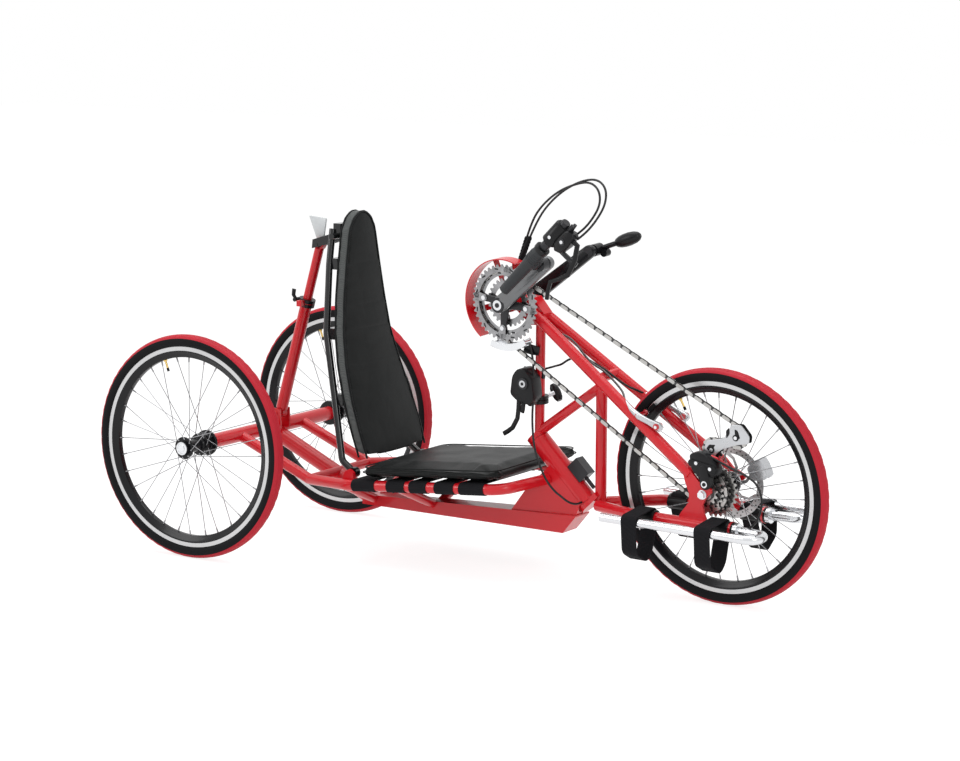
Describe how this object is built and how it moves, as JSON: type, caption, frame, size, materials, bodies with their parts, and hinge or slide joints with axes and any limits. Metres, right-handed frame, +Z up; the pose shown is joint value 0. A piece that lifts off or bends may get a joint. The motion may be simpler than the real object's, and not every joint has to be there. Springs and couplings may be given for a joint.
{
  "type": "handcycle",
  "caption": "Low recumbent cycle with wheels on a rear cross beam, a reclining seat, and a front wheel driven by hand cranks and steered about a raked head tube",
  "frame": {"origin": "on the floor, midway along and across the parked vehicle", "axes": "+X to the front, +Y to the rider's left, +Z up from the floor"},
  "size_m": [1.754, 0.6836, 0.92],
  "materials": {
    "frame_red": "gloss enamel",
    "webbing": "black woven webbing",
    "vinyl": "black vinyl with stitched edges",
    "cable": "cable housing",
    "tyre": "ribbed black rubber with a red sidewall band",
    "rim": "black with bare brake tracks",
    "spoke_steel": "bright",
    "steel": "satin",
    "dark_metal": "satin black",
    "alloy": "satin",
    "boot": "rubber",
    "grip": "grey rubber",
    "black_plastic": "moulded"
  },
  "bodies": {
    "frame": {"axle_beam": "frame_red", "spine": "frame_red", "rear_stays": "frame_red", "boom": "frame_red", "head_tube": "frame_red", "seat_rails": "frame_red", "cross_tubes": "frame_red", "hinge_lugs": "frame_red", "steering_damper": "frame_red", "seat_sling": "webbing", "seat_cushion": "vinyl", "derailleur_cable": "cable"},
    "wheel_right": {"rear_tyre_right": "tyre", "rear_rim_right": "rim", "rear_hub_right": "spoke_steel"},
    "wheel_left": {"rear_tyre_left": "tyre", "rear_rim_left": "rim", "rear_hub_left": "spoke_steel"},
    "front_unit": {"steering_column": "frame_red", "mast": "frame_red", "crank_housing": "frame_red", "fork_blades": "frame_red", "fork_bridge": "frame_red", "diagonal": "frame_red", "foot_rails": "frame_red", "dropouts": "frame_red", "front_axle": "steel", "chain": "steel", "derailleur": "dark_metal", "front_derailleur": "alloy", "chain_guard": "frame_red", "rim_brake": "alloy", "brake_caliper": "dark_metal", "foot_hoops": "alloy", "rail_sleeves": "webbing", "foot_straps": "webbing", "mast_lever": "dark_metal", "cable_boots": "boot", "crank_cables": "cable", "control_cables": "cable"},
    "front_wheel": {"front_hub": "spoke_steel", "front_tyre": "tyre", "front_rim": "rim", "cassette": "steel", "brake_rotor": "steel"},
    "crank": {"chainrings": "alloy", "crank_arm_right": "alloy", "crank_arm_left": "dark_metal"},
    "handle_right": {"handle_bracket_right": "dark_metal", "handle_grip_right": "grip", "handle_controls_right": "black_plastic"},
    "handle_left": {"handle_bracket_left": "alloy", "handle_grip_left": "grip"},
    "backrest": {"back_pad": "vinyl", "back_frame": "dark_metal"},
    "strut_lower": {"strut_lower": "frame_red"},
    "strut_upper": {"strut_upper": "frame_red"}
  },
  "joints": [
    {"name": "wheel_right_turn", "type": "hinge", "parent": "frame", "child": "wheel_right", "pos_m": [-0.61498, -0.3078, 0.262], "axis": [0, 1, 0], "continuous": true},
    {"name": "wheel_left_turn", "type": "hinge", "parent": "frame", "child": "wheel_left", "pos_m": [-0.61498, 0.3078, 0.262], "axis": [0, 1, 0], "continuous": true},
    {"name": "steering", "type": "hinge", "parent": "frame", "child": "front_unit", "pos_m": [0.28102, 0, 0.174], "axis": [-0.7071, 0, 0.7071], "range_deg": [-19.52, 30.48], "deforming": ["derailleur_cable"]},
    {"name": "front_wheel_turn", "type": "hinge", "parent": "front_unit", "child": "front_wheel", "pos_m": [0.61525, -0.02865, 0.26174], "axis": [0.0676, 0.9954, 0.0676], "continuous": true},
    {"name": "crank_turn", "type": "hinge", "parent": "front_unit", "child": "crank", "pos_m": [0.09141, -0.01798, 0.62839], "axis": [0.0676, 0.9954, 0.0676], "continuous": true, "deforming": ["crank_cables"]},
    {"name": "handle_right_turn", "type": "hinge", "parent": "crank", "child": "handle_right", "pos_m": [0.2259, -0.13934, 0.72785], "axis": [0.0676, 0.9954, 0.0676], "continuous": true},
    {"name": "handle_left_turn", "type": "hinge", "parent": "crank", "child": "handle_left", "pos_m": [0.24009, 0.0697, 0.74204], "axis": [0.0676, 0.9954, 0.0676], "continuous": true},
    {"name": "recline", "type": "hinge", "parent": "frame", "child": "backrest", "pos_m": [-0.27098, 0, 0.212], "axis": [0, 1, 0], "range_deg": [-14, 4]},
    {"name": "strut_swing", "type": "hinge", "parent": "frame", "child": "strut_lower", "pos_m": [-0.58298, 0, 0.302], "axis": [0, 1, 0], "range_deg": [-15.6, 5]},
    {"name": "strut_extend", "type": "slide", "parent": "strut_lower", "child": "strut_upper", "axis": [0.2741, 0, 0.9617], "range_m": [-0.082, 0.026]}
  ],
  "couplings": [
    {"joint": "strut_swing", "follows": "recline", "ratio": 1.0786},
    {"joint": "strut_extend", "follows": "recline", "m_per_rad": 0.32338}
  ]
}
